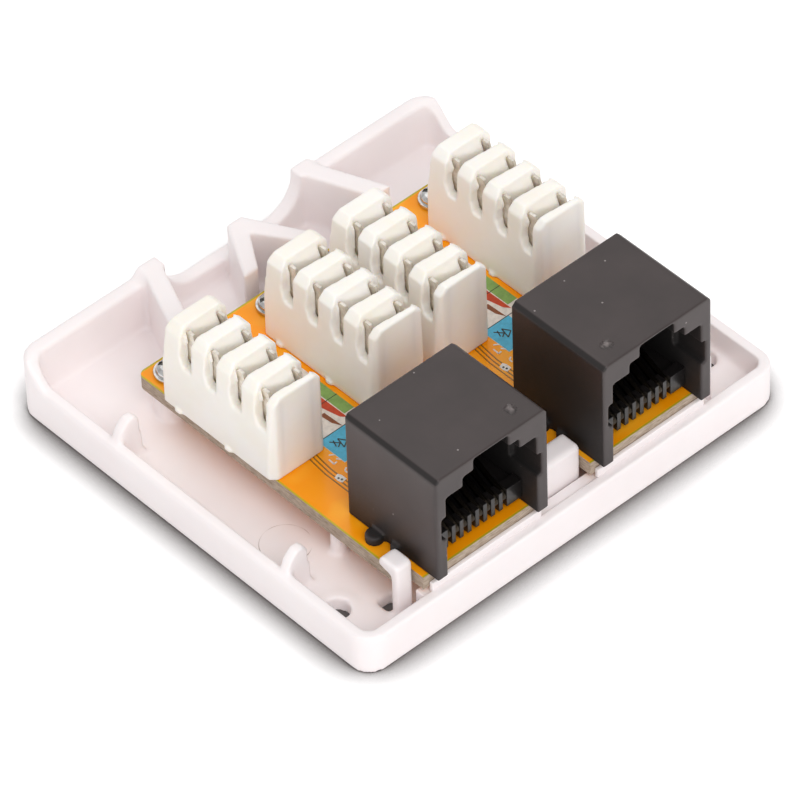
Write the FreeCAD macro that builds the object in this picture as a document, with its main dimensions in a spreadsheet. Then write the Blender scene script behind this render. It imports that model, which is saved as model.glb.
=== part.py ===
import FreeCAD, Part
import Sketcher
import math
import os
from FreeCAD import Vector

# Two-port surface mount jack box with its cover off, in millimetres.
# X runs to the right along the jack side, Y runs to the back where the cables come in,
# Z is up, and the origin lies on the underside at the middle of the tray.

doc = FreeCAD.newDocument("JackBox")

SIZES = {
    # tray
    "trayWidth": 54.9,
    "trayDepth": 51.2,
    "trayCorner": 2.4,
    "floorThick": 1.7,
    "rimHeight": 4.75,
    "rimThick": 1.2,
    "backHeight": 7.45,
    "backThick": 1.7,
    "rampRun": 2.6,
    "guideHeight": 8.35,
    "guideThick": 2.3,
    "guideRun": 7.2,
    "guideSplay": 3.3,
    "guideRise": 0.9,
    "notchWidth": 18.0,
    "notchBase": 3.85,
    "notchRadius": 4.0,
    "dividerThick": 1.9,
    "dividerRun": 6.8,
    "dividerSplay": 3.7,
    "tabReach": 2.9,
    "tabDraft": 0.6,
    "tabThick": 1.2,
    "tabHeight": 7.05,
    "tabShoulder": 0.9,
    "tabBackPlace": 11.5,
    "tabFrontPlace": 12.9,
    "bossDiameter": 3.6,
    "supportDiameter": 1.7,
    "supportInset": 1.3,
    "supportPlace": 12.1,
    "mountHole": 2.8,
    "mountCollar": 4.8,
    "mountCollarRise": 0.35,
    "mountInset": 3.1,
    "mountPlace": 17.8,
    # snap hooks at the front of the board
    "hookThick": 1.0,
    "hookHead": 1.7,
    "hookRise": 1.7,
    "hookStandoff": 1.6,
    "hookClear": 0.2,
    "sideHookWidth": 2.0,
    "sideHookPlace": 19.9,
    "middleHookWidth": 6.0,
    # circuit board
    "boardWidth": 40.2,
    "boardBackGap": 1.5,
    "boardThick": 1.6,
    "boardUnder": 5.05,
    "boardGap": 0.3,
    "boardCorner": 0.9,
    "screwInset": 2.2,
    "screwSpread": 13.4,
    "screwShift": 0.2,
    "screwHole": 2.3,
    # board screws
    "screwDiameter": 1.8,
    "screwLength": 4.4,
    "screwHead": 3.3,
    "screwHeadHeight": 1.2,
    "screwFit": 0.05,
    "recessWidth": 0.42,
    "recessSpan": 1.9,
    "recessDepth": 0.7,
    # jack housings
    "jackWidth": 14.4,
    "jackDepth": 12.7,
    "jackHeight": 13.4,
    "jackPitch": 21.74,
    "jackSetback": 0.1,
    "jackBackWall": 1.3,
    "jackEdge": 0.5,
    "plugWidth": 11.7,
    "plugTop": 10.4,
    "latchWide": 7.3,
    "latchWideTop": 11.6,
    "latchNarrow": 4.5,
    "latchTop": 13.05,
    "sideCutDepth": 0.6,
    "sideCutBase": 5.0,
    "sideCutTop": 7.9,
    "sideCutLength": 4.0,
    "pegDiameter": 1.6,
    "pegLength": 2.2,
    "pegPlace": 4.2,
    "pegHole": 1.9,
    "lugLarge": 1.9,
    "lugSmall": 1.1,
    "lugHeight": 1.0,
    "lugPlace": 8.3,
    "lugSpacing": 2.5,
    # contact inserts
    "insertClear": 0.1,
    "combFront": 2.2,
    "combThick": 1.2,
    "combTop": 3.1,
    "insertBase": 0.8,
    "insertDeck": 2.4,
    "uprightThick": 1.4,
    "uprightTop": 7.5,
    "footThick": 0.8,
    "channelWidth": 0.54,
    "channelTop": 1.75,
    # contact wires
    "contactCount": 8,
    "contactPitch": 1.02,
    "wireWidth": 0.46,
    "wireThick": 0.38,
    "wireRun": 1.3,
    "wireInset": 0.05,
    "wrapRadius": 0.7,
    "wireSlope": 25.0,
    "springLength": 6.3,
    "tailRowFront": 6.9,
    "tailRowStep": 2.54,
    "tailLength": 3.0,
    "tailHole": 0.9,
    # terminal blocks
    "blockSpread": 13.2,
    "blockShift": 0.4,
    "blockWidth": 7.2,
    "blockTopWidth": 6.3,
    "blockLength": 16.6,
    "blockHeight": 10.75,
    "blockBackGap": 4.0,
    "blockSkirt": 1.2,
    "blockEdge": 0.87,
    "blockCorner": 0.75,
    "blockEndTaper": 1.0,
    "postPitch": 3.62,
    "slotLead": 1.55,
    "slotWidth": 0.92,
    "slotFlareFront": 0.4,
    "slotFlareBack": 0.8,
    "lipReach": 0.75,
    "lipSlope": 0.25,
    "mouthDepth": 2.0,
    "mouthBack": 0.95,
    "mouthFront": 0.2,
    "reliefBack": 0.85,
    "reliefBase": 8.0,
    "slotBase": 6.2,
    "entryWidth": 0.7,
    "entryReach": 1.3,
    "entryTop": 9.2,
    "entryFootRise": 1.1,
    "entryCrownDrop": 0.9,
    "nubDiameter": 1.2,
    "nubHeight": 0.5,
    "nubReach": 0.3,
    # clips
    "clipThick": 0.4,
    "clipWidth": 2.7,
    "clipSpan": 3.9,
    "clipTop": 10.1,
    "clipFoot": 0.9,
    "clipFootWidth": 1.2,
    "clipSlit": 0.32,
    "clipSlitBase": 5.9,
    "clipMouth": 1.3,
    "clipMouthDepth": 1.0,
    "clipClear": 0.06,
    "clipTail": 0.6,
    "clipTailLength": 2.7,
    "clipTailHole": 1.0,
}

sheet = doc.addObject("Spreadsheet::Sheet", "Sizes")
for row, (word, number) in enumerate(SIZES.items(), start=1):
    sheet.set("A%d" % row, word)
    sheet.set("B%d" % row, str(number))
    sheet.setAlias("B%d" % row, word)
doc.recompute()


def size(word):
    """The value of one named size."""
    return float(sheet.get(word))


def sized(text):
    """An expression where every named size is read from the sheet."""
    words = []
    for word in text.replace("(", " ( ").replace(")", " ) ").split():
        words.append("Sizes." + word if word in SIZES else word)
    return " ".join(words)


def bind(thing, prop, text):
    thing.setExpression(prop, sized(text))


# Places that several pieces share, written once and reused by every piece that meets there.
FRONT_WALL = "( - trayDepth / 2 + rimThick )"
BOARD_FRONT = "( - trayDepth / 2 + rimThick + boardGap )"
BOARD_BACK = "( trayDepth / 2 - backThick - dividerRun - boardBackGap )"
BOARD_TOP = "( boardUnder + boardThick )"
JACK_FRONT = "( - trayDepth / 2 + jackSetback )"
SCREW_ROW = "( " + BOARD_BACK + " - screwInset )"
BLOCK_BACK = "( " + BOARD_BACK + " - blockBackGap )"
BLOCK_MIDDLE = "( " + BLOCK_BACK + " - blockLength / 2 )"
FIRST_SLOT = "( slotLead - blockLength / 2 )"
HOOK_FRONT = "( " + FRONT_WALL + " + hookStandoff )"
HOOK_BACK = "( " + HOOK_FRONT + " + hookThick )"
PORTS = {"left": "-", "right": "+"}
BACKWARD = Vector(0, 1, 0)
UPWARD = Vector(0, 0, 1)


def port_x(side):
    """Middle of a port across the box."""
    return "( 0 %s jackPitch / 2 )" % PORTS[side]


def block_x(side, sign):
    return port_x(side) + " + blockShift " + sign + " blockSpread / 2"


def screw_x(side, sign):
    return port_x(side) + " - screwShift " + sign + " screwSpread / 2"


def origin_plane(body, role):
    for feature in body.Origin.OriginFeatures:
        if feature.Role == role:
            return feature
    raise ValueError(role)


def new_body(label):
    body = doc.addObject("PartDesign::Body", label)
    body.Label = label
    return body


def new_sketch(body, role, name, lift=None):
    """A sketch on one of the body's own planes, lifted along the plane's normal if asked."""
    sketch = body.newObject("Sketcher::SketchObject", name)
    sketch.AttachmentSupport = [(origin_plane(body, role), "")]
    sketch.MapMode = "FlatFace"
    if lift:
        bind(sketch, "AttachmentOffset.Base.z", lift)
    return sketch


def hold(sketch, kind, items, now, text):
    """A constraint that starts from the value drawn now and then follows the sheet."""
    here = sketch.addConstraint(Sketcher.Constraint(kind, *items, now))
    bind(sketch, "Constraints[%d]" % here, text)


def fix_point(sketch, geo, pos, across, up):
    point = sketch.getPoint(geo, pos)
    hold(sketch, "DistanceX", (geo, pos), point.x, across)
    hold(sketch, "DistanceY", (geo, pos), point.y, up)


def outline(sketch, corners):
    """One closed outline of straight runs through corners given as pairs of expressions."""
    first = sketch.GeometryCount
    count = len(corners)
    for step in range(count):
        start = Vector(step, step * step, 0)
        end = Vector(step + 1, (step + 1) * (step + 1), 0)
        sketch.addGeometry(Part.LineSegment(start, end))
    for step in range(count):
        following = first + (step + 1) % count
        sketch.addConstraint(Sketcher.Constraint("Coincident", first + step, 2, following, 1))
    for step, (across, up) in enumerate(corners):
        fix_point(sketch, first + step, 1, across, up)


def rectangle(sketch, left, right, low, high):
    outline(sketch, [(left, low), (right, low), (right, high), (left, high)])


def circle(sketch, across, up, diameter):
    geo = sketch.addGeometry(Part.Circle(Vector(0, 0, 0), Vector(0, 0, 1), 1.0))
    fix_point(sketch, geo, 3, across, up)
    hold(sketch, "Diameter", (geo,), 2.0, diameter)


def settle(feature):
    """Recompute and stop if the feature did not come out."""
    doc.recompute()
    if "Invalid" in feature.State:
        raise RuntimeError("%s: %s" % (feature.Label, feature.getStatusString()))
    return feature


def hexagon(sketch, across, up, flat_to_flat):
    """A small round hole, pin or nub drawn six-sided, to keep what repeats light."""
    points = []
    for step in range(6):
        turn = math.radians(60 * step + 30)
        reach = "( " + flat_to_flat + " ) / 2 / %.5f" % math.cos(math.pi / 6)
        points.append(("%s + %s * %.5f" % (across, reach, math.cos(turn)),
                       "%s + %s * %.5f" % (up, reach, math.sin(turn))))
    outline(sketch, points)


def pad(body, sketch, length, name, middle=False, reverse=False):
    feature = body.newObject("PartDesign::Pad", name)
    feature.Profile = sketch
    bind(feature, "Length", length)
    feature.Midplane = middle
    feature.Reversed = reverse
    return settle(feature)


def pocket(body, sketch, length, name, middle=False, reverse=False):
    """A cut that must take something away."""
    before = body.Shape.Volume
    feature = body.newObject("PartDesign::Pocket", name)
    feature.Profile = sketch
    bind(feature, "Length", length)
    feature.Midplane = middle
    feature.Reversed = reverse
    settle(feature)
    if body.Shape.Volume > before - 1e-6:
        raise RuntimeError("nothing cut by " + name)
    return feature


def row_of(body, feature, role, pitch, count, name):
    """Copies of a feature in a row along one of the sketch's own axes."""
    pattern = body.newObject("PartDesign::LinearPattern", name)
    pattern.Originals = [feature]
    pattern.Direction = (feature.Profile[0], [role])
    pattern.Mode = "Spacing"
    bind(pattern, "Offset", pitch)
    bind(pattern, "Occurrences", count)
    body.Tip = pattern
    return settle(pattern)


def edges_along(shape, axis, test):
    """Names of the straight edges along one axis whose end points pass the test."""
    names = []
    for number, edge in enumerate(shape.Edges, start=1):
        if len(edge.Vertexes) != 2:
            continue
        start, end = edge.Vertexes[0].Point, edge.Vertexes[1].Point
        offset = end - start
        straight = abs(edge.Length - offset.Length) < 1e-6
        along = abs(abs(offset.dot(axis)) - offset.Length) < 1e-6
        if straight and along and test(start) and test(end):
            names.append("Edge%d" % number)
    return names


def dress(body, kind, names, amount, name):
    """Round or chamfer the named edges of the body's last feature."""
    base = body.Tip
    feature = body.newObject("PartDesign::" + kind, name)
    feature.Base = (base, names)
    bind(feature, "Radius" if kind == "Fillet" else "Size", amount)
    return settle(feature)


def place(body, across="0", back="0", up="0"):
    bind(body, "Placement.Base.x", across)
    bind(body, "Placement.Base.y", back)
    bind(body, "Placement.Base.z", up)


def near(value, target):
    return abs(value - target) < 1e-4


def make_tray():
    """Moulded tray: floor, low rim, higher back wall, guides, bosses, hooks and tabs."""
    body = new_body("base_tray")
    half = size("trayWidth") / 2
    deep = size("trayDepth") / 2

    blank = new_sketch(body, "XY_Plane", "TrayPlan")
    rectangle(blank, "- trayWidth / 2", "trayWidth / 2", "- trayDepth / 2", "trayDepth / 2")
    pad(body, blank, "guideHeight", "TrayBlank")
    corners = edges_along(body.Shape, UPWARD, lambda point: True)
    dress(body, "Fillet", corners, "trayCorner", "TrayCorners")

    # The side walls drop to the low rim in front of a short ramp at each back corner.
    ramp = new_sketch(body, "YZ_Plane", "RimLine")
    outline(ramp, [
        ("- trayDepth", "rimHeight"),
        ("trayDepth / 2 - backThick - rampRun", "rimHeight"),
        ("trayDepth / 2 - backThick", "backHeight"),
        ("trayDepth / 2 - backThick", "guideHeight + 1"),
        ("- trayDepth", "guideHeight + 1"),
    ])
    pocket(body, ramp, "trayWidth * 2", "RimCut", middle=True)

    # The top of the back wall: level at the ends, raised beside the cable notch, low in it.
    skyline = new_sketch(body, "XZ_Plane", "BackSkyline")
    crest = "notchWidth / 2 + guideThick"
    outline(skyline, [
        ("- trayWidth", "backHeight"),
        ("- ( " + crest + " + guideRise )", "backHeight"),
        ("- ( " + crest + " )", "guideHeight"),
        ("- notchWidth / 2", "guideHeight"),
        ("- notchWidth / 2", "notchBase"),
        ("notchWidth / 2", "notchBase"),
        ("notchWidth / 2", "guideHeight"),
        (crest, "guideHeight"),
        (crest + " + guideRise", "backHeight"),
        ("trayWidth", "backHeight"),
        ("trayWidth", "guideHeight + 1"),
        ("- trayWidth", "guideHeight + 1"),
    ])
    pocket(body, skyline, "trayDepth", "BackCut")

    inside = new_sketch(body, "XY_Plane", "TrayInside", lift="floorThick")
    rectangle(inside, "- trayWidth / 2 + rimThick", "trayWidth / 2 - rimThick",
              FRONT_WALL, "trayDepth / 2 - backThick")
    pocket(body, inside, "guideHeight * 2", "TrayHollow", reverse=True)
    edge_x = half - size("rimThick")
    hollow_corners = edges_along(
        body.Shape, UPWARD, lambda point: near(abs(point.x), edge_x) and abs(point.y) < deep - 1.0)
    dress(body, "Fillet", hollow_corners, "trayCorner - rimThick", "HollowCorners")
    notch = size("notchWidth") / 2
    low = size("notchBase")
    bends = edges_along(body.Shape, BACKWARD,
                        lambda point: near(abs(point.x), notch) and near(point.z, low))
    dress(body, "Fillet", bends, "notchRadius", "NotchBends")

    # Two guide walls splay out from the notch, and a divider parts the two cable ways.
    guides = new_sketch(body, "XY_Plane", "GuidePlan")
    wall = "( trayDepth / 2 - backThick / 2 )"
    reach = "( trayDepth / 2 - backThick - guideRun )"
    for sign in ("-", ""):
        outline(guides, [
            (sign + " ( notchWidth / 2 )", wall),
            (sign + " ( notchWidth / 2 + guideThick )", wall),
            (sign + " ( notchWidth / 2 + guideThick + guideSplay )", reach),
            (sign + " ( notchWidth / 2 + guideSplay )", reach),
        ])
    pad(body, guides, "guideHeight", "Guides")
    divider = new_sketch(body, "XY_Plane", "DividerPlan")
    apex = "trayDepth / 2 - backThick"
    tip = "( trayDepth / 2 - backThick - dividerRun )"
    outline(divider, [
        ("- dividerThick / 2", apex),
        ("- ( dividerSplay + dividerThick / 2 )", tip),
        ("- ( dividerSplay - dividerThick / 2 )", tip),
        ("0", apex + " - dividerThick * 1.3"),
        ("dividerSplay - dividerThick / 2", tip),
        ("dividerSplay + dividerThick / 2", tip),
        ("dividerThick / 2", apex),
    ])
    pad(body, divider, "guideHeight", "Divider")

    # Bosses under the board screws, and two pins under the board's sides.
    bosses = new_sketch(body, "XY_Plane", "BossPlan")
    for side in PORTS:
        for sign in ("-", "+"):
            circle(bosses, screw_x(side, sign), SCREW_ROW, "bossDiameter")
    for sign in ("-", ""):
        circle(bosses, sign + " ( boardWidth / 2 - supportInset )", "- supportPlace", "supportDiameter")
    pad(body, bosses, "boardUnder", "Bosses")
    pilots = new_sketch(body, "XY_Plane", "PilotPlan", lift="floorThick")
    for side in PORTS:
        for sign in ("-", "+"):
            hexagon(pilots, screw_x(side, sign), SCREW_ROW, "screwDiameter + screwFit * 2")
    pocket(body, pilots, "boardUnder * 2", "Pilots", reverse=True)

    # Snap hooks: a leg in front of the board's notch with a head over the board.
    hooks = [("MiddleHook", "0", "middleHookWidth")]
    hooks.append(("LeftHook", "- sideHookPlace", "sideHookWidth"))
    hooks.append(("RightHook", "sideHookPlace", "sideHookWidth"))
    for name, middle, wide in hooks:
        leg = new_sketch(body, "YZ_Plane", name + "Side", lift=middle)
        outline(leg, [
            (HOOK_FRONT, "floorThick / 2"),
            (HOOK_BACK, "floorThick / 2"),
            (HOOK_BACK, BOARD_TOP + " + hookClear"),
            (HOOK_BACK + " + hookHead", BOARD_TOP + " + hookClear * 2"),
            (HOOK_BACK + " + hookHead", BOARD_TOP + " + hookRise - 0.5"),
            (HOOK_BACK + " + hookHead - 0.5", BOARD_TOP + " + hookRise"),
            (HOOK_FRONT + " + 0.3", BOARD_TOP + " + hookRise"),
            (HOOK_FRONT, BOARD_TOP + " + hookRise - 0.3"),
        ])
        pad(body, leg, wide, name, middle=True)

    # Tabs inside the side walls that the cover's edge slides against.
    for name, back in (("BackTab", "tabBackPlace"), ("FrontTab", "- tabFrontPlace")):
        tab = new_sketch(body, "XZ_Plane", name + "Side", lift="- ( " + back + " )")
        for sign in ("-", ""):
            inner = "( trayWidth / 2 - rimThick - tabReach )"
            outline(tab, [
                (sign + " ( trayWidth / 2 - rimThick / 2 )", "floorThick / 2"),
                (sign + " ( trayWidth / 2 - rimThick / 2 )", "rimHeight - 0.2"),
                (sign + " ( trayWidth / 2 - rimThick )", "tabHeight - tabShoulder"),
                (sign + " ( trayWidth / 2 - rimThick - tabShoulder )", "tabHeight"),
                (sign + " ( " + inner + " + tabDraft + tabShoulder / 2 )", "tabHeight"),
                (sign + " ( " + inner + " + tabDraft )", "tabHeight - tabShoulder / 2"),
                (sign + " " + inner, "floorThick / 2"),
            ])
        pad(body, tab, "tabThick", name + "s", middle=True)

    # Fixing holes with low collars, and mould openings under the hook heads.
    collars = new_sketch(body, "XY_Plane", "CollarPlan")
    for sign in ("-", ""):
        circle(collars, sign + " ( trayWidth / 2 - mountInset )", "- mountPlace", "mountCollar")
    pad(body, collars, "floorThick + mountCollarRise", "Collars")
    holes = new_sketch(body, "XY_Plane", "FloorHoles")
    for sign in ("-", ""):
        circle(holes, sign + " ( trayWidth / 2 - mountInset )", "- mountPlace", "mountHole")
    for name, middle, wide in hooks:
        rectangle(holes, "( " + middle + " ) - " + wide + " / 2", "( " + middle + " ) + " + wide + " / 2",
                  HOOK_BACK + " + hookClear", HOOK_BACK + " + hookHead + hookClear * 2")
    pocket(body, holes, "rimHeight", "FloorOpenings", reverse=True)
    return body


def make_board():
    """Circuit board with notches for the hooks and every drilled hole."""
    body = new_body("circuit_board")
    notch_back = HOOK_BACK + " + hookClear"
    side_in = "( sideHookPlace - sideHookWidth / 2 - hookClear )"
    middle_in = "( middleHookWidth / 2 + hookClear )"
    plan = new_sketch(body, "XY_Plane", "BoardPlan")
    outline(plan, [
        ("- " + side_in, BOARD_FRONT),
        ("- " + middle_in, BOARD_FRONT),
        ("- " + middle_in, notch_back),
        (middle_in, notch_back),
        (middle_in, BOARD_FRONT),
        (side_in, BOARD_FRONT),
        (side_in, notch_back),
        ("boardWidth / 2", notch_back),
        ("boardWidth / 2", BOARD_BACK),
        ("- boardWidth / 2", BOARD_BACK),
        ("- boardWidth / 2", notch_back),
        ("- " + side_in, notch_back),
    ])
    pad(body, plan, "boardThick", "BoardBlank")
    back = max(vertex.Point.y for vertex in body.Shape.Vertexes)
    tips = edges_along(body.Shape, UPWARD, lambda point: near(point.y, back))
    dress(body, "Fillet", tips, "boardCorner", "BoardCorners")

    drills = new_sketch(body, "XY_Plane", "DrillPlan")
    for side in PORTS:
        for sign in ("-", "+"):
            circle(drills, screw_x(side, sign), SCREW_ROW, "screwHole")
            hexagon(drills, port_x(side) + sign + " ( jackWidth / 2 - pegDiameter / 2 )",
                    JACK_FRONT + " + jackDepth - pegPlace", "pegHole")
    pocket(body, drills, "boardThick * 2", "Drills", reverse=True)

    # Clip tails: the first hole under each block, repeated along the block.
    clips = new_sketch(body, "XY_Plane", "ClipHoles")
    for side in PORTS:
        for sign in ("-", "+"):
            hexagon(clips, block_x(side, sign), BLOCK_MIDDLE + " + " + FIRST_SLOT, "clipTailHole")
    first = pocket(body, clips, "boardThick * 2", "FirstClipHoles", reverse=True)
    row_of(body, first, "V_Axis", "postPitch", "4", "ClipHoleRows")

    # Contact tails: the first hole of each staggered row, repeated across the jack.
    for side in PORTS:
        tails = new_sketch(body, "XY_Plane", "TailHoles_" + side)
        for number in (0, 1):
            hexagon(tails, port_x(side) + " + " + contact_x(number), tail_y(number), "tailHole")
        first = pocket(body, tails, "boardThick * 2", "FirstTailHoles_" + side, reverse=True)
        row_of(body, first, "H_Axis", "contactPitch * 2", "contactCount / 2", "TailHoleRows_" + side)
    place(body, up="boardUnder")
    return body


def contact_x(number):
    """Offset of one contact from the middle of its port."""
    return "contactPitch * ( %d - ( contactCount - 1 ) / 2 )" % number


def tail_y(number):
    """Every second tail goes through the board one step further back."""
    return JACK_FRONT + " + tailRowFront + tailRowStep * %d" % (number % 2)


def make_screw(label, across):
    """Pan head screw with a cross recess."""
    body = new_body(label)
    side = new_sketch(body, "XZ_Plane", label + "_side")
    outline(side, [
        ("0", "- screwLength"),
        ("screwDiameter / 2", "- screwLength"),
        ("screwDiameter / 2", "0"),
        ("screwHead / 2", "0"),
        ("screwHead / 2", "screwHeadHeight"),
        ("0", "screwHeadHeight"),
    ])
    turned = body.newObject("PartDesign::Revolution", label + "_turned")
    turned.Profile = side
    turned.ReferenceAxis = (side, ["V_Axis"])
    turned.Angle = 360
    settle(turned)
    cross = new_sketch(body, "XY_Plane", label + "_cross", lift="screwHeadHeight - recessDepth")
    long, thin = "recessSpan / 2", "recessWidth / 2"
    outline(cross, [
        ("- " + long, "- " + thin), ("- " + thin, "- " + thin), ("- " + thin, "- " + long),
        (thin, "- " + long), (thin, "- " + thin), (long, "- " + thin),
        (long, thin), (thin, thin), (thin, long),
        ("- " + thin, long), ("- " + thin, thin), ("- " + long, thin),
    ])
    pocket(body, cross, "screwHeadHeight", label + "_recess", reverse=True)
    place(body, across, SCREW_ROW, BOARD_TOP)
    return body


def make_housing(side):
    """Jack shell: stepped plug opening, open floor, pegs into the board, lugs at the foot."""
    label = "jack_housing_" + side
    body = new_body(label)
    face = new_sketch(body, "XZ_Plane", label + "_face")
    rectangle(face, "- jackWidth / 2", "jackWidth / 2", "0", "jackHeight")
    pad(body, face, "jackDepth", label + "_blank", reverse=True)
    half, top = size("jackWidth") / 2, size("jackHeight")
    long_edges = edges_along(body.Shape, BACKWARD,
                             lambda point: near(abs(point.x), half) and near(point.z, top))
    dress(body, "Chamfer", long_edges, "jackEdge", label + "_edges")

    hole = new_sketch(body, "XZ_Plane", label + "_hole")
    outline(hole, [
        ("- plugWidth / 2", "- 1"), ("- plugWidth / 2", "plugTop"),
        ("- latchWide / 2", "plugTop"), ("- latchWide / 2", "latchWideTop"),
        ("- latchNarrow / 2", "latchWideTop"), ("- latchNarrow / 2", "latchTop"),
        ("latchNarrow / 2", "latchTop"), ("latchNarrow / 2", "latchWideTop"),
        ("latchWide / 2", "latchWideTop"), ("latchWide / 2", "plugTop"),
        ("plugWidth / 2", "plugTop"), ("plugWidth / 2", "- 1"),
    ])
    pocket(body, hole, "jackDepth - jackBackWall", label + "_cavity")
    slots = new_sketch(body, "XZ_Plane", label + "_slots")
    rectangle(slots, "- ( plugWidth / 2 + sideCutDepth )", "plugWidth / 2 + sideCutDepth",
              "sideCutBase", "sideCutTop")
    pocket(body, slots, "sideCutLength", label + "_side_cuts")

    pegs = new_sketch(body, "XY_Plane", label + "_pegs")
    for sign in ("-", ""):
        hexagon(pegs, sign + " ( jackWidth / 2 - pegDiameter / 2 )", "jackDepth - pegPlace", "pegDiameter")
    pad(body, pegs, "pegLength", label + "_peg_pair", reverse=True)
    lugs = new_sketch(body, "XY_Plane", label + "_lugs")
    for sign in ("-", ""):
        circle(lugs, sign + " ( jackWidth / 2 + lugLarge * 0.3 )", "lugPlace", "lugLarge")
        circle(lugs, sign + " ( jackWidth / 2 + lugSmall * 0.1 )", "lugPlace - lugSpacing", "lugSmall")
    pad(body, lugs, "lugHeight", label + "_lug_set")
    place(body, port_x(side), JACK_FRONT, BOARD_TOP)
    return body


def make_insert(side):
    """Contact carrier: a comb at the front, a deck, and an upright at the back."""
    label = "jack_insert_" + side
    body = new_body(label)
    rear = "( jackDepth - jackBackWall - insertClear )"
    profile = new_sketch(body, "YZ_Plane", label + "_side")
    outline(profile, [
        ("combFront", "insertBase"), (rear + " - footThick", "insertBase"),
        (rear + " - footThick", "0"), (rear, "0"),
        (rear, "uprightTop"), (rear + " - uprightThick", "uprightTop"),
        (rear + " - uprightThick", "insertDeck"), ("combFront + combThick", "insertDeck"),
        ("combFront + combThick", "combTop"), ("combFront", "combTop"),
    ])
    pad(body, profile, "plugWidth - insertClear * 2", label + "_blank", middle=True)
    first = contact_x(0)
    run = new_sketch(body, "XZ_Plane", label + "_channel")
    rectangle(run, first + " - channelWidth / 2", first + " + channelWidth / 2", "0.5 * insertBase",
              "channelTop")
    channel = pocket(body, run, "tailRowFront + tailRowStep + tailHole / 2", label + "_channel_cut")
    row_of(body, channel, "H_Axis", "contactPitch", "contactCount", label + "_channels")
    gap = new_sketch(body, "XZ_Plane", label + "_gap")
    rectangle(gap, first + " - channelWidth / 2", first + " + channelWidth / 2", "0.5 * insertBase",
              "combTop + 1")
    slot = pocket(body, gap, "combFront + combThick", label + "_gap_cut")
    row_of(body, slot, "H_Axis", "contactPitch", "contactCount", label + "_gaps")
    place(body, port_x(side), JACK_FRONT, BOARD_TOP)
    return body


def make_contact(side, number):
    """Flat contact strip: tail through the board, run under the deck, wrap, spring arm."""
    label = "contact_%s_%d" % (side, number + 1)
    body = new_body(label)
    step = number % 2
    tail = "( tailRowFront + tailRowStep * %d )" % step
    wrap = "( combFront + wireInset + wireThick / 2 + wrapRadius )"

    # Start values only: the constraints below set the real route.
    tail_at = size("tailRowFront") + size("tailRowStep") * step
    wrap_at = size("combFront") + size("wireInset") + size("wireThick") / 2 + size("wrapRadius")
    turn, level = size("wrapRadius"), size("wireRun")
    slope = math.radians(size("wireSlope"))
    arm = Vector(math.cos(slope), math.sin(slope), 0)
    wrap_middle = Vector(wrap_at, level + turn, 0)

    # The two sides of the strip run half a thickness outside and inside one middle line.
    strip = new_sketch(body, "YZ_Plane", label + "_side")
    sides = []
    for sign, other, half in (("+", "-", size("wireThick") / 2), ("-", "+", -size("wireThick") / 2)):
        tail_low = Vector(tail_at + half, -size("tailLength"), 0)
        tail_top = Vector(tail_at + half, level + half, 0)
        run_front = Vector(wrap_at, level + half, 0)
        inner = turn - half
        arm_low = wrap_middle + Vector(-math.sin(slope), math.cos(slope), 0) * inner
        up = strip.addGeometry(Part.LineSegment(tail_low, tail_top))
        run = strip.addGeometry(Part.LineSegment(tail_top, run_front))
        loop = Part.Circle(wrap_middle, Vector(0, 0, 1), inner)
        wrap_arc = strip.addGeometry(Part.ArcOfCircle(loop, math.pi / 2 + slope, math.pi * 1.5))
        spring = strip.addGeometry(Part.LineSegment(arm_low, arm_low + arm * size("springLength")))
        fix_point(strip, up, 1, tail + " " + sign + " wireThick / 2", "- tailLength")
        strip.addConstraint(Sketcher.Constraint("Vertical", up))
        strip.addConstraint(Sketcher.Constraint("Coincident", up, 2, run, 1))
        strip.addConstraint(Sketcher.Constraint("Tangent", run, 2, wrap_arc, 2))
        strip.addConstraint(Sketcher.Constraint("Tangent", wrap_arc, 1, spring, 1))
        strip.addConstraint(Sketcher.Constraint("Horizontal", run))
        hold(strip, "Radius", (wrap_arc,), inner, "wrapRadius " + other + " wireThick / 2")
        hold(strip, "DistanceX", (wrap_arc, 3), wrap_at, wrap)
        hold(strip, "DistanceY", (run, 2), level + half, "wireRun " + sign + " wireThick / 2")
        hold(strip, "Distance", (spring,), size("springLength"), "springLength")
        hold(strip, "Angle", (spring,), slope, "wireSlope * 1deg")
        sides.append((up, spring))
    for which, end in ((0, 1), (1, 2)):
        start, finish = sides[0][which], sides[1][which]
        cap = strip.addGeometry(Part.LineSegment(strip.getPoint(start, end), strip.getPoint(finish, end)))
        strip.addConstraint(Sketcher.Constraint("Coincident", cap, 1, start, end))
        strip.addConstraint(Sketcher.Constraint("Coincident", cap, 2, finish, end))
    pad(body, strip, "wireWidth", label + "_wire", middle=True)
    place(body, port_x(side) + " + " + contact_x(number), JACK_FRONT, BOARD_TOP)
    return body


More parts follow.
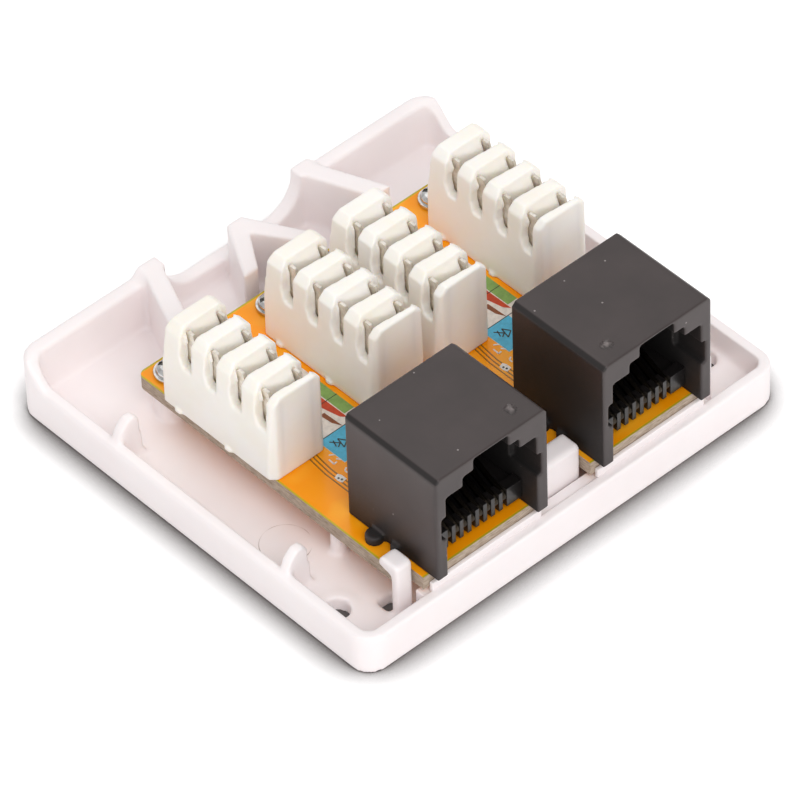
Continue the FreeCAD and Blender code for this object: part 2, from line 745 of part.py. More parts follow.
def make_block(number, across):
    """Terminal block: tapered body, five posts, wire slots with lead-ins, clip pockets."""
    label = "idc_block_%d" % number
    body = new_body(label)
    end = new_sketch(body, "XZ_Plane", label + "_end")
    outline(end, [
        ("- blockWidth / 2", "0"), ("blockWidth / 2", "0"),
        ("blockWidth / 2", "blockSkirt"),
        ("blockTopWidth / 2", "blockHeight - blockEdge"),
        ("blockTopWidth / 2 - blockEdge", "blockHeight"),
        ("- ( blockTopWidth / 2 - blockEdge )", "blockHeight"),
        ("- blockTopWidth / 2", "blockHeight - blockEdge"),
        ("- blockWidth / 2", "blockSkirt"),
    ])
    pad(body, end, "blockLength", label + "_blank", middle=True)
    # The back end leans in towards the top.
    lean = new_sketch(body, "YZ_Plane", label + "_lean")
    outline(lean, [
        ("blockLength / 2", "blockSkirt"),
        ("blockLength / 2 + 1", "blockSkirt"),
        ("blockLength / 2 + 1", "blockHeight + 1"),
        ("blockLength / 2 - blockEndTaper", "blockHeight + 1"),
        ("blockLength / 2 - blockEndTaper", "blockHeight"),
    ])
    pocket(body, lean, "blockWidth * 2", label + "_lean_cut", middle=True)
    # Small chamfers on the four upright corners, cut through the whole height.
    corners = new_sketch(body, "XY_Plane", label + "_corners")
    for one in ("-", ""):
        for two in ("-", ""):
            outline(corners, [
                (one + " ( blockWidth / 2 - blockCorner )", two + " ( blockLength / 2 )"),
                (one + " ( blockWidth / 2 + 1 )", two + " ( blockLength / 2 )"),
                (one + " ( blockWidth / 2 + 1 )", two + " ( blockLength / 2 - blockCorner - 1 )"),
            ])
    pocket(body, corners, "blockHeight", label + "_corner_cut", reverse=True)

    # Each slot is narrow at both faces and flares inside, behind a lip, on opposite sides.
    first = FIRST_SLOT
    edge = "( slotWidth / 2 )"
    lip = "( blockTopWidth / 2 - lipReach )"
    outside = "( blockWidth / 2 + 1 )"
    plan = new_sketch(body, "XY_Plane", label + "_slot", lift="slotBase")
    outline(plan, [
        ("- " + outside, first + " - " + edge), ("- " + lip, first + " - " + edge),
        (lip + " - lipSlope", first + " - " + edge + " - slotFlareFront"), (lip, first + " - " + edge),
        (outside, first + " - " + edge), (outside, first + " + " + edge),
        (lip, first + " + " + edge), ("lipSlope - " + lip, first + " + " + edge + " + slotFlareBack"),
        ("- " + lip, first + " + " + edge), ("- " + outside, first + " + " + edge),
    ])
    cut = pocket(body, plan, "blockHeight", label + "_slot_cut", reverse=True)
    row_of(body, cut, "V_Axis", "postPitch", "4", label + "_slots")

    # The front of each post is rounded off above the slot, from the left lip to the right face.
    mouth = new_sketch(body, "YZ_Plane", label + "_mouth", lift="- " + lip)
    outline(mouth, [
        (first + " - " + edge, "blockHeight - mouthDepth"),
        (first + " + " + edge, "blockHeight - mouthDepth"),
        (first + " + " + edge + " + mouthBack * 0.45", "blockHeight - mouthDepth * 0.6"),
        (first + " + " + edge + " + mouthBack * 0.85", "blockHeight - mouthDepth * 0.25"),
        (first + " + " + edge + " + mouthBack", "blockHeight"),
        (first + " + " + edge + " + mouthBack", "blockHeight + 0.1"),
        (first + " - " + edge + " - mouthFront", "blockHeight + 0.1"),
        (first + " - " + edge, "blockHeight - mouthFront"),
    ])
    flare = pocket(body, mouth, "blockWidth", label + "_mouth_cut", reverse=True)
    row_of(body, flare, "H_Axis", "postPitch", "4", label + "_mouths")

    # The left lip slants out to the face, and the right end of each post is set back.
    ends = new_sketch(body, "XY_Plane", label + "_ends", lift="reliefBase")
    ridge = "( blockTopWidth / 2 - blockEdge )"
    behind = first + " + " + edge
    outline(ends, [
        ("- " + lip, behind + " - slotWidth / 4"), ("- " + lip, behind + " + mouthBack"),
        ("- ( " + lip + " + mouthBack )", behind + " - slotWidth / 4"),
    ])
    rectangle(ends, ridge, outside, behind + " - slotWidth / 4", behind + " + reliefBack")
    trim = pocket(body, ends, "blockHeight", label + "_end_trim", reverse=True)
    row_of(body, trim, "V_Axis", "postPitch", "4", label + "_end_trims")

    # Scoops that lead a wire in below the lips: behind the slot on the left face,
    # in front of it on the right face.
    for name, sign, other in (("left", "-", "+"), ("right", "", "-")):
        scoop = new_sketch(body, "YZ_Plane", label + "_scoop_" + name, lift=sign + " ( blockWidth / 2 )")
        wall = first + " " + other + " " + edge
        outline(scoop, [
            (first, "slotBase"),
            (wall + " " + other + " entryWidth * 0.3", "slotBase"),
            (wall + " " + other + " entryWidth", "slotBase + entryFootRise"),
            (wall + " " + other + " entryWidth", "entryTop - entryCrownDrop"),
            (wall, "entryTop"),
            (first, "entryTop"),
        ])
        bite = pocket(body, scoop, "entryReach", label + "_scoop_%s_cut" % name, reverse=name == "left")
        row_of(body, bite, "H_Axis", "postPitch", "4", label + "_scoops_" + name)

    # Pockets for the clips, open at the underside where the clips go in.
    blades = new_sketch(body, "XY_Plane", label + "_blades")
    wide = "( clipWidth / 2 + clipClear )"
    thick = "( clipThick / 2 + clipClear )"
    for sign in ("-", ""):
        rectangle(blades, sign + " clipSpan / 2 - " + thick, sign + " clipSpan / 2 + " + thick,
                  first + " - " + wide, first + " + " + wide)
    deep = pocket(body, blades, "clipTop + clipClear", label + "_blade_cut", reverse=True)
    row_of(body, deep, "V_Axis", "postPitch", "4", label + "_blade_pockets")
    foot = new_sketch(body, "XY_Plane", label + "_foot")
    rectangle(foot, "- clipSpan / 2", "clipSpan / 2",
              first + " - clipFootWidth / 2 - clipClear", first + " + clipFootWidth / 2 + clipClear")
    shallow = pocket(body, foot, "clipFoot + clipClear", label + "_foot_cut", reverse=True)
    row_of(body, shallow, "V_Axis", "postPitch", "4", label + "_foot_pockets")

    # Nubs at the foot of the left side.
    nubs = new_sketch(body, "XY_Plane", label + "_nubs")
    for back in ("- postPitch / 2", "postPitch * 3 / 2"):
        hexagon(nubs, "- ( blockWidth / 2 + nubReach - nubDiameter / 2 )", back, "nubDiameter")
    pad(body, nubs, "nubHeight", label + "_nub_set")
    place(body, across, BLOCK_MIDDLE, BOARD_TOP)
    return body


def make_clip(block, number, across):
    """Stamped clip: two slit blades joined by a foot, with one tail through the board."""
    label = "idc_clip_%d_%d" % (block, number + 1)
    body = new_body(label)
    foot = new_sketch(body, "XY_Plane", label + "_foot")
    rectangle(foot, "- ( clipSpan + clipThick ) / 2", "( clipSpan + clipThick ) / 2",
              "- clipFootWidth / 2", "clipFootWidth / 2")
    pad(body, foot, "clipFoot", label + "_foot_strip")
    for name, sign in (("left", "-"), ("right", "")):
        blade = new_sketch(body, "YZ_Plane", label + "_blade_" + name, lift=sign + " clipSpan / 2")
        outline(blade, [
            ("- clipWidth / 2", "clipFoot / 2"), ("clipWidth / 2", "clipFoot / 2"),
            ("clipWidth / 2", "clipTop"), ("clipMouth / 2", "clipTop"),
            ("clipSlit / 2", "clipTop - clipMouthDepth"), ("clipSlit / 2", "clipSlitBase"),
            ("- clipSlit / 2", "clipSlitBase"), ("- clipSlit / 2", "clipTop - clipMouthDepth"),
            ("- clipMouth / 2", "clipTop"), ("- clipWidth / 2", "clipTop"),
        ])
        pad(body, blade, "clipThick", label + "_sheet_" + name, middle=True)
    tail = new_sketch(body, "XY_Plane", label + "_tail")
    rectangle(tail, "- clipTail / 2", "clipTail / 2", "- clipThick / 2", "clipThick / 2")
    pad(body, tail, "clipTailLength", label + "_tail_pin", reverse=True)
    place(body, across, BLOCK_MIDDLE + " + " + FIRST_SLOT + " + postPitch * %d" % number, BOARD_TOP)
    return body


pieces = [make_tray(), make_board()]
for port, side in enumerate(PORTS):
    pieces.append(make_housing(side))
    pieces.append(make_insert(side))
    for number in range(int(size("contactCount"))):
        pieces.append(make_contact(side, number))
    for step, sign in enumerate(("-", "+")):
        block = port * 2 + step + 1
        across = block_x(side, sign)
        pieces.append(make_block(block, across))
        for number in range(4):
            pieces.append(make_clip(block, number, across))
        pieces.append(make_screw("board_screw_%d" % block, screw_x(side, sign)))

doc.recompute()
for thing in doc.Objects:
    if "Invalid" in thing.State or "Error" in thing.State:
        raise RuntimeError("not built: " + thing.Label)
for piece in pieces:
    if piece.Shape.isNull() or not piece.Shape.isValid() or len(piece.Shape.Solids) != 1:
        raise RuntimeError("bad shape: " + piece.Label)

os.makedirs("parts", exist_ok=True)
for piece in pieces:
    piece.Shape.exportStep("parts/" + piece.Label + ".step")
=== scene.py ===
import bmesh
import bpy
import math
from mathutils import Euler, Matrix, Vector


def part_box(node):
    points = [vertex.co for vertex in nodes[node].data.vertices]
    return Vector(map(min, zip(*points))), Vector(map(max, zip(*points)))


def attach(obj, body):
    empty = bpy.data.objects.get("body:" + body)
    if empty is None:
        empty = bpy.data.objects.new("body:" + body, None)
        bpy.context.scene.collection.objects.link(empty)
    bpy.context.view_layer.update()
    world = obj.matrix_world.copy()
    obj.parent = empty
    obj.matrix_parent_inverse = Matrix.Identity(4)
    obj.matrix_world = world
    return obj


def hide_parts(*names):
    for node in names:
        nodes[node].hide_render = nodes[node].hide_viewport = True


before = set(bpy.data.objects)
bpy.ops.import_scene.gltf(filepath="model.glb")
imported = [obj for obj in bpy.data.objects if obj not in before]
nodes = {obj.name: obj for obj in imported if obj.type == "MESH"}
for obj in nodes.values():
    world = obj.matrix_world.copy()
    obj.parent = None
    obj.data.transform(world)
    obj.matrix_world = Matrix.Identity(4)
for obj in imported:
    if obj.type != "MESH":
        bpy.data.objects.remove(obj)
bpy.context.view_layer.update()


mm = 0.001


# small helpers

def linear(hexColour):
    # sRGB hex to the linear values that the shader works in
    channels = []
    for place in (0, 2, 4):
        value = int(hexColour.lstrip("#")[place:place + 2], 16) / 255
        channels.append(value / 12.92 if value <= 0.04045 else ((value + 0.055) / 1.055) ** 2.4)
    return (*channels, 1.0)


def startMaterial(name):
    material = bpy.data.materials.new(name)
    material.use_nodes = True
    tree = material.node_tree
    return material, tree, tree.nodes["Principled BSDF"]


def setShader(tree, shader, links, values):
    # outputs that feed the main shader, then its plain values
    for socket, output in links.items():
        tree.links.new(output, shader.inputs[socket])
    for socket, value in values.items():
        shader.inputs[socket].default_value = value


def addNode(tree, kind, settings=None, inputs=None):
    # one node with its settings; an input is a value or an output of another node
    node = tree.nodes.new(kind)
    for word, value in (settings or {}).items():
        setattr(node, word, value)
    for socket, value in (inputs or {}).items():
        if isinstance(value, bpy.types.NodeSocket):
            tree.links.new(value, node.inputs[socket])
        else:
            node.inputs[socket].default_value = value
    return node


def wear(name, material):
    # a CAD node keeps its mesh and takes a new material
    node = nodes[name]
    node.data.materials.clear()
    node.data.materials.append(material)


def newPiece(name, mesh):
    piece = bpy.data.objects.new(name, mesh)
    bpy.context.scene.collection.objects.link(piece)
    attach(piece, "root")
    return piece


def mottle(tree, baseHex, otherHex, sizeMm, detail=3.0, low=0.35, high=0.7):
    # a slow drift between two colours; sizeMm is the width of one patch
    place = objectPlace(tree)
    noise = addNode(tree, "ShaderNodeTexNoise", inputs={"Vector": place, "Scale": 1 / (sizeMm * mm),
                                                        "Detail": detail, "Roughness": 0.55})
    ramp = addNode(tree, "ShaderNodeValToRGB", inputs={"Fac": noise.outputs["Fac"]})
    ramp.color_ramp.elements[0].position = low
    ramp.color_ramp.elements[1].position = high
    ramp.color_ramp.elements[0].color = linear(baseHex)
    ramp.color_ramp.elements[1].color = linear(otherHex)
    return ramp.outputs["Color"]


def grain(tree, sizeMm, strength, depthMm, under):
    # fine relief left by the mould, laid over another normal
    place = objectPlace(tree)
    noise = addNode(tree, "ShaderNodeTexNoise", inputs={"Vector": place, "Scale": 1 / (sizeMm * mm),
                                                        "Detail": 4.0, "Roughness": 0.6})
    return addNode(tree, "ShaderNodeBump", inputs={"Height": noise.outputs["Fac"], "Strength": strength,
                                                   "Distance": depthMm * mm, "Normal": under})


def plainNormal(tree):
    return addNode(tree, "ShaderNodeNewGeometry").outputs["Normal"]


def objectPlace(tree):
    return addNode(tree, "ShaderNodeTexCoord").outputs["Object"]


# moulded plastics

trayLook = {"colour": "#FCF4F4", "shade": "#F9F0F0", "drift": 9.0, "grain": 0.22, "grainShare": 0.12,
            "grainDepth": 0.02, "rough": 0.42, "ior": 1.53, "milky": 0.12, "reach": (1.0, 0.8, 0.7),
            "voxel": 0.25, "passes": 5, "keep": 0.4, "floor": 1.7, "collar": 0.35, "collarLeft": 0.06,
            "mark": (22.05, -8.0), "markRadius": 2.6, "markLine": 0.045, "markAbove": 1.0, "markGap": 3.0,
            "markDepth": 0.03, "markShadeColour": "#BDADA6"}


def makeTrayPlastic(look):
    # ABS, injection moulded: satin white, soft edges, a faint spark-eroded grain
    material, tree, shader = startMaterial("whiteMouldedAbs")
    colour = mottle(tree, look["colour"], look["shade"], look["drift"])
    relief = grain(tree, look["grain"], look["grainShare"], look["grainDepth"], plainNormal(tree))
    # ejector pins left one shallow ring on the floor at each side; painted shade darkens the ring's line,
    # faded out in places by noise
    where = objectPlace(tree)
    place = addNode(tree, "ShaderNodeSeparateXYZ", inputs={"Vector": where})
    across = addNode(tree, "ShaderNodeMath", {"operation": "ABSOLUTE"}, {0: place.outputs["X"]})
    offset = addNode(tree, "ShaderNodeCombineXYZ", inputs={"X": across.outputs[0], "Y": place.outputs["Y"]})
    far = addNode(tree, "ShaderNodeVectorMath", {"operation": "DISTANCE"},
                  {0: offset.outputs[0], 1: (look["mark"][0] * mm, look["mark"][1] * mm, 0)})
    ring = addNode(tree, "ShaderNodeMath", {"operation": "COMPARE"},
                   {0: far.outputs["Value"], 1: look["markRadius"] * mm, 2: look["markLine"] * mm})
    inside = addNode(tree, "ShaderNodeMath", {"operation": "GREATER_THAN"},
                     {0: place.outputs["Z"], 1: look["markAbove"] * mm})
    ringFade = addNode(tree, "ShaderNodeTexNoise",
                   inputs={"Vector": where, "Scale": 1 / (look["markGap"] * mm), "Detail": 1.0})
    seen = addNode(tree, "ShaderNodeMapRange", inputs={0: ringFade.outputs["Fac"], 1: 0.42, 2: 0.62})
    whole = addNode(tree, "ShaderNodeMath", {"operation": "MULTIPLY"},
                    {0: ring.outputs[0], 1: inside.outputs[0]})
    shown = addNode(tree, "ShaderNodeMath", {"operation": "MULTIPLY"},
                    {0: whole.outputs[0], 1: seen.outputs[0]})
    ringShade = addNode(tree, "ShaderNodeMix", {"data_type": "RGBA"},
                   {0: shown.outputs[0], 6: colour, 7: linear(look["markShadeColour"])})
    groove = addNode(tree, "ShaderNodeBump", {"invert": True},
                     {"Height": shown.outputs[0], "Strength": 0.35, "Distance": look["markDepth"] * mm,
                      "Normal": relief.outputs["Normal"]})
    setShader(tree, shader, {"Base Color": ringShade.outputs[2], "Normal": groove.outputs["Normal"]}, {
        "Roughness": look["rough"], "IOR": look["ior"], "Subsurface Weight": look["milky"],
        "Subsurface Radius": [value * mm for value in look["reach"]], "Subsurface Scale": 1.0})
    return material


blockLook = {"colour": "#FFFAF3", "shade": "#FBF3E8", "drift": 6.0, "grain": 0.18, "grainShare": 0.15,
             "grainDepth": 0.02, "rough": 0.4, "ior": 1.55, "milky": 0.3, "reach": (1.2, 0.9, 0.6),
             "voxel": 0.14, "passes": 10, "keep": 0.5}


def makeBlockPlastic(look):
    # PBT, natural ivory, moulded: slightly milky, so light goes into thin posts
    material, tree, shader = startMaterial("ivoryMouldedPbt")
    colour = mottle(tree, look["colour"], look["shade"], look["drift"])
    relief = grain(tree, look["grain"], look["grainShare"], look["grainDepth"], plainNormal(tree))
    setShader(tree, shader, {"Base Color": colour, "Normal": relief.outputs["Normal"]}, {
        "Roughness": look["rough"], "IOR": look["ior"], "Subsurface Weight": look["milky"],
        "Subsurface Radius": [value * mm for value in look["reach"]], "Subsurface Scale": 1.0})
    return material


jackLook = {"colour": "#372E2D", "shade": "#3E3433", "drift": 5.0, "grain": 0.16, "grainShare": 0.2,
            "grainDepth": 0.02, "rough": 0.38, "ior": 1.56, "specular": 0.42,
            # deep is the colour of the painted shade in the hollows and along the roof's left chamfer
            "deep": "#0C0706", "deepRough": 0.75, "deepReach": 12, "deepFrom": 0.5, "deepTo": 0.94,
            "speck": "#8F8785", "speckSpacing": 2.1, "speckSize": 0.046,
            "gate": (4.6, 2.2), "gateRadius": 0.75, "gateRag": 0.5, "gateDepth": 0.6, "gateHighlight": "#9C9290",
            "seam": 0.36, "chamferShadeShare": 0.8, "chamferShadeAcross": 6.98, "chamferShadeDown": 0.22,
            "voxel": 0.16, "passes": 4, "keep": 0.35}


def makeJackPlastic(look, side, sign):
    # glass-filled polyester, moulded: charcoal satin, light dust specks, a gate mark on the roof
    material, tree, shader = startMaterial("charcoalFilledPbt_" + side)
    colour = mottle(tree, look["colour"], look["shade"], look["drift"])
    place = objectPlace(tree)
    cells = addNode(tree, "ShaderNodeTexVoronoi", {"feature": "F1"},
                    {"Vector": place, "Scale": 1 / (look["speckSpacing"] * mm), "Randomness": 1.0})
    speck = addNode(tree, "ShaderNodeMath", {"operation": "LESS_THAN"},
                    {0: cells.outputs["Distance"], 1: look["speckSize"]})
    dusty = addNode(tree, "ShaderNodeMix", {"data_type": "RGBA"},
                    {0: speck.outputs[0], 6: colour, 7: linear(look["speck"])})
    relief = grain(tree, look["grain"], look["grainShare"], look["grainDepth"], plainNormal(tree))
    # the gate was broken off flush: a shallow ragged dimple
    low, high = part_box("jack_housing_" + side)
    gate = ((low[0] + high[0]) / 2 - sign * look["gate"][0] * mm, low[1] + look["gate"][1] * mm, high[2])
    ragged = addNode(tree, "ShaderNodeTexNoise",
                     inputs={"Vector": place, "Scale": 1 / (look["gateRag"] * mm), "Detail": 3.0})
    wide = addNode(tree, "ShaderNodeMapRange",
                   inputs={0: ragged.outputs["Fac"], 3: look["gateRadius"] * 0.4 * mm,
                           4: look["gateRadius"] * 1.6 * mm})
    far = addNode(tree, "ShaderNodeVectorMath", {"operation": "DISTANCE"}, {0: place, 1: gate})
    share = addNode(tree, "ShaderNodeMath", {"operation": "DIVIDE"},
                    {0: far.outputs["Value"], 1: wide.outputs[0]})
    dimple = addNode(tree, "ShaderNodeMapRange", {"interpolation_type": "SMOOTHSTEP"},
                     {0: share.outputs[0], 1: 0.2, 2: 1.0, 3: 0.0, 4: 1.0})
    dented = addNode(tree, "ShaderNodeBump", inputs={"Height": dimple.outputs[0], "Strength": 1.0,
                                                     "Distance": look["gateDepth"] * mm,
                                                     "Normal": relief.outputs["Normal"]})
    # painted highlight: a paler ragged patch on the gate stands for the glint on its dimple
    gateHighlightFade = addNode(tree, "ShaderNodeMapRange",
                    inputs={0: share.outputs[0], 1: 0.3, 2: 1.0, 3: 0.75, 4: 0.0})
    gateHighlightShare = addNode(tree, "ShaderNodeMath", {"operation": "MULTIPLY"},
                    {0: gateHighlightFade.outputs[0], 1: ragged.outputs["Fac"]})
    gateHighlighted = addNode(tree, "ShaderNodeMix", {"data_type": "RGBA"},
                      {0: gateHighlightShare.outputs[0], 6: dusty.outputs[2], 7: linear(look["gateHighlight"])})
    # painted shade: the base colour goes almost black where ambient occlusion finds the mouth and the gap
    # between the jacks, as little light comes back out of them
    hollowShade = addNode(tree, "ShaderNodeAmbientOcclusion", {"samples": 8},
                     {"Distance": look["deepReach"] * mm})
    clear = addNode(tree, "ShaderNodeMapRange",
                    inputs={0: hollowShade.outputs["AO"], 1: look["deepFrom"], 2: look["deepTo"]})
    # painted shade: a dark, dull band along the chamfer at the roof's left edge
    parts = addNode(tree, "ShaderNodeSeparateXYZ", inputs={"Vector": place})
    edgeLine = addNode(tree, "ShaderNodeCombineXYZ",
                       inputs={"X": parts.outputs["X"], "Z": parts.outputs["Z"]})
    chamferShadeFar = addNode(tree, "ShaderNodeVectorMath", {"operation": "DISTANCE"},
                      {0: edgeLine.outputs[0], 1: ((low[0] + high[0]) / 2 - look["chamferShadeAcross"] * mm, 0,
                                                   high[2] - look["chamferShadeDown"] * mm)})
    seam = addNode(tree, "ShaderNodeMapRange", {"interpolation_type": "SMOOTHSTEP"},
                   {0: chamferShadeFar.outputs["Value"], 1: look["seam"] * 0.5 * mm, 2: look["seam"] * mm,
                    3: look["chamferShadeShare"], 4: 0.0})
    chamferShaded = addNode(tree, "ShaderNodeMix", {"data_type": "RGBA"},
                    {0: seam.outputs[0], 6: gateHighlighted.outputs[2], 7: linear(look["deep"])})
    deep = addNode(tree, "ShaderNodeMix", {"data_type": "RGBA"},
                   {0: clear.outputs[0], 6: linear(look["deep"]), 7: chamferShaded.outputs[2]})
    dull = addNode(tree, "ShaderNodeMapRange",
                   inputs={0: clear.outputs[0], 3: look["deepRough"], 4: look["rough"]})
    setShader(tree, shader, {"Base Color": deep.outputs[2], "Roughness": dull.outputs[0],
                             "Normal": dented.outputs["Normal"]},
              {"IOR": look["ior"], "Specular IOR Level": look["specular"]})
    return material


insertLook = {"colour": "#141212", "shade": "#1B1818", "drift": 2.0, "edge": 0.08, "rough": 0.28, "ior": 1.55}


def makeInsertPlastic(look):
    # the same polyester unfilled, moulded against polished steel: darker and glossier
    material, tree, shader = startMaterial("blackPolishedPbt")
    colour = mottle(tree, look["colour"], look["shade"], look["drift"])
    edges = addNode(tree, "ShaderNodeBevel", {"samples": 4}, {"Radius": look["edge"] * mm})
    setShader(tree, shader, {"Base Color": colour, "Normal": edges.outputs["Normal"]},
              {"Roughness": look["rough"], "IOR": look["ior"]})
    return material


# metals

contactLook = {"colour": "#3F382F", "shade": "#2A2622", "drift": 1.2, "grain": 0.08, "rough": 0.24}
tinLook = {"colour": "#F0EBE3", "shade": "#D6CFC4", "drift": 0.7, "lines": 0.12, "rough": 0.5}
zincLook = {"colour": "#DAD9D8", "shade": "#AFAEAC", "drift": 0.7, "lines": 0.12, "rough": 0.16}


def makeContactPlate(look):
    # a thin gold flash over nickel on bronze, coloured dull and dark: painted shade of the jack's mouth on
    # the metal
    material, tree, shader = startMaterial("goldFlashedBronze_paintedShade")
    colour = mottle(tree, look["colour"], look["shade"], look["drift"])
    relief = grain(tree, look["grain"], 0.15, 0.01, plainNormal(tree))
    setShader(tree, shader, {"Base Color": colour, "Normal": relief.outputs["Normal"]},
              {"Metallic": 1.0, "Roughness": look["rough"]})
    return material


def makeRolledPlate(name, look):
    # tin or zinc over rolled or turned metal: pale grey, scuffed where the tool ran
    material, tree, shader = startMaterial(name)
    colour = mottle(tree, look["colour"], look["shade"], look["drift"])
    stretched = addNode(tree, "ShaderNodeMapping", inputs={"Vector": objectPlace(tree),
                                                           "Scale": (1.0, 1.0, 0.12)})
    lines = addNode(tree, "ShaderNodeTexNoise", inputs={"Vector": stretched.outputs[0],
                                                        "Scale": 1 / (look["lines"] * mm), "Detail": 2.0})
    relief = addNode(tree, "ShaderNodeBump", inputs={"Height": lines.outputs["Fac"], "Strength": 0.3,
                                                     "Distance": 0.01 * mm})
    setShader(tree, shader, {"Base Color": colour, "Normal": relief.outputs["Normal"]},
              {"Metallic": 1.0, "Roughness": look["rough"]})
    return material


# circuit board

boardLook = {"mask": "#FF9C06", "copper": "#FFAD22", "drift": 6.0, "bare": "#C2AE2A", "rim": 0.2,
             "edgeLight": "#C9B9A8", "edgeDark": "#94816F", "fibre": 0.9, "layers": 6.0, "rough": 0.22,
             "edgeRough": 0.8, "weave": 0.6, "ior": 1.5, "specular": 0.3}


def makeBoardLaminate(look, low, high):
    # glass-epoxy laminate under an amber solder mask: glossy top, dusty sawn edges
    material, tree, shader = startMaterial("amberMaskedLaminate")
    place = objectPlace(tree)
    parts = addNode(tree, "ShaderNodeSeparateXYZ", inputs={"Vector": place})
    top = mottle(tree, look["mask"], look["copper"], look["drift"], 2.0, 0.45, 0.62)
    # the mask stops short of the sawn edge and leaves a thin line of bare laminate
    gaps = []
    for axis, start, end in (("X", low[0], high[0]), ("Y", low[1], high[1])):
        first = addNode(tree, "ShaderNodeMath", {"operation": "SUBTRACT"},
                        {0: parts.outputs[axis], 1: start})
        last = addNode(tree, "ShaderNodeMath", {"operation": "SUBTRACT"},
                       {0: end, 1: parts.outputs[axis]})
        gaps.append(addNode(tree, "ShaderNodeMath", {"operation": "MINIMUM"},
                            {0: first.outputs[0], 1: last.outputs[0]}).outputs[0])
    gap = addNode(tree, "ShaderNodeMath", {"operation": "MINIMUM"}, {0: gaps[0], 1: gaps[1]})
    bare = addNode(tree, "ShaderNodeMath", {"operation": "LESS_THAN"},
                   {0: gap.outputs[0], 1: look["rim"] * mm})
    face = addNode(tree, "ShaderNodeMix", {"data_type": "RGBA"},
                   {0: bare.outputs[0], 6: top, 7: linear(look["bare"])})
    # fibre layers show on the sawn edge
    squeeze = addNode(tree, "ShaderNodeMapping",
                      inputs={"Vector": place, "Scale": (1.0, 1.0, look["layers"])})
    fibre = addNode(tree, "ShaderNodeTexNoise",
                    inputs={"Vector": squeeze.outputs[0], "Scale": 1 / (look["fibre"] * mm), "Detail": 5.0,
                            "Roughness": 0.7})
    edge = addNode(tree, "ShaderNodeValToRGB", inputs={"Fac": fibre.outputs["Fac"]})
    edge.color_ramp.elements[0].position = 0.35
    edge.color_ramp.elements[1].position = 0.68
    edge.color_ramp.elements[0].color = linear(look["edgeDark"])
    edge.color_ramp.elements[1].color = linear(look["edgeLight"])
    normal = plainNormal(tree)
    upright = addNode(tree, "ShaderNodeSeparateXYZ", inputs={"Vector": normal})
    level = addNode(tree, "ShaderNodeMath", {"operation": "ABSOLUTE"}, {0: upright.outputs["Z"]})
    flat = addNode(tree, "ShaderNodeMath", {"operation": "GREATER_THAN"}, {0: level.outputs[0], 1: 0.5})
    colour = addNode(tree, "ShaderNodeMix", {"data_type": "RGBA"},
                     {0: flat.outputs[0], 6: edge.outputs["Color"], 7: face.outputs[2]})
    rough = addNode(tree, "ShaderNodeMapRange",
                    inputs={0: flat.outputs[0], 3: look["edgeRough"], 4: look["rough"]})
    relief = grain(tree, look["weave"], 0.06, 0.02, normal)
    setShader(tree, shader, {"Base Color": colour.outputs[2], "Roughness": rough.outputs[0],
                             "Normal": relief.outputs["Normal"]},
              {"IOR": look["ior"], "Specular IOR Level": look["specular"]})
    return material


def makeInk(name, hexColour, rough=0.45):
    # screen-printed epoxy ink: flat colour with slightly uneven cover
    material, tree, shader = startMaterial(name)
    deeper = "#" + "".join("%02X" % int(int(hexColour[at:at + 2], 16) * 0.9) for at in (1, 3, 5))
    colour = mottle(tree, hexColour, deeper, 0.5)
    setShader(tree, shader, {"Base Color": colour}, {"Roughness": rough})
    return material


tray = makeTrayPlastic(trayLook)
ivory = makeBlockPlastic(blockLook)
jackPlastic = {"left": makeJackPlastic(jackLook, "left", -1),
               "right": makeJackPlastic(jackLook, "right", 1)}
insertPlastic = makeInsertPlastic(insertLook)
contactPlate = makeContactPlate(contactLook)
tin = makeRolledPlate("tinPlatedBronze", tinLook)
zinc = makeRolledPlate("zincPlatedSteel", zincLook)
boardLow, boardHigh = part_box("circuit_board")
laminate = makeBoardLaminate(boardLook, boardLow, boardHigh)

wornBy = {"base_tray": tray, "circuit_board": laminate, "jack_housing_left": jackPlastic["left"],
          "jack_housing_right": jackPlastic["right"], "jack_insert": insertPlastic, "contact": contactPlate,
          "idc_block": ivory, "idc_clip": tin, "board_screw": zinc}
for name in nodes:
    for start, material in wornBy.items():
        if name.startswith(start):
            wear(name, material)
print("materials on the packed parts: done")


def applied(piece):
    # the piece keeps the mesh that its modifiers give
    bpy.context.view_layer.update()
    mesh = bpy.data.meshes.new_from_object(piece.evaluated_get(bpy.context.evaluated_depsgraph_get()))
    piece.modifiers.clear()
    piece.data = mesh
    return mesh


def eased(piece, width, segments):
    # small rounding on the sharp edges of a new piece
    rounding = piece.modifiers.new("rounding", "BEVEL")
    rounding.width = width * mm
    rounding.segments = segments
    rounding.limit_method = "ANGLE"
    applied(piece)


def bitten(piece, tool):
    # takes the tool's form out of the piece
    bite = piece.modifiers.new("bite", "BOOLEAN")
    bite.operation = "DIFFERENCE"
    bite.solver = "EXACT"
    bite.object = tool
    return bite


def addBox(form, low, high):
    size = Vector(high) - Vector(low)
    middle = (Vector(high) + Vector(low)) / 2
    bmesh.ops.create_cube(form, size=1.0, matrix=Matrix.Translation(middle) @ Matrix.Diagonal((*size, 1)))


def boxTool(name, boxes):
    # a form made of plain boxes; each is lowest corner, highest corner
    mesh = bpy.data.meshes.new(name)
    form = bmesh.new()
    for low, high in boxes:
        addBox(form, low, high)
    form.to_mesh(mesh)
    form.free()
    tool = bpy.data.objects.new(name, mesh)
    bpy.context.scene.collection.objects.link(tool)
    return tool


